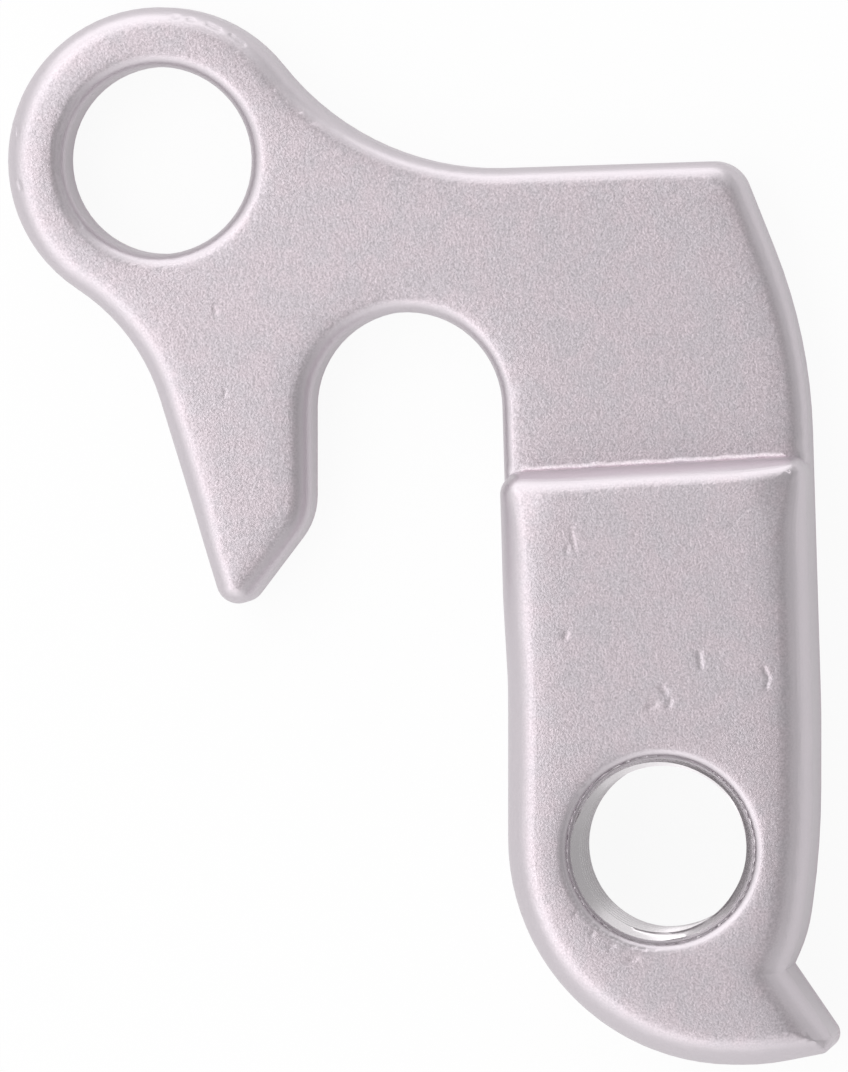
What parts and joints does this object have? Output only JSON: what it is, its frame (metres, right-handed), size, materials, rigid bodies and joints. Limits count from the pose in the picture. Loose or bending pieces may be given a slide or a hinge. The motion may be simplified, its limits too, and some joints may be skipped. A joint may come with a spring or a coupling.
{
  "type": "bicycle derailleur hanger",
  "caption": "Replaceable bicycle derailleur hanger: a plate with a bolt eye and an open axle slot, stepping up to a thicker arm with a tapped hole and a stop tab.",
  "frame": {"origin": "on the wheel axle's line, at the flat outer face that the part lies on", "axes": "+X to the rear of the bicycle, +Y up on the bicycle and away from the slot's mouth, +Z inboard, out of the stepped side"},
  "size_m": [0.0453, 0.0572, 0.0075],
  "materials": {
    "blasted_aluminium": "bead-blasted, matt"
  },
  "bodies": {
    "root": {"hanger": "blasted_aluminium"}
  },
  "joints": []
}
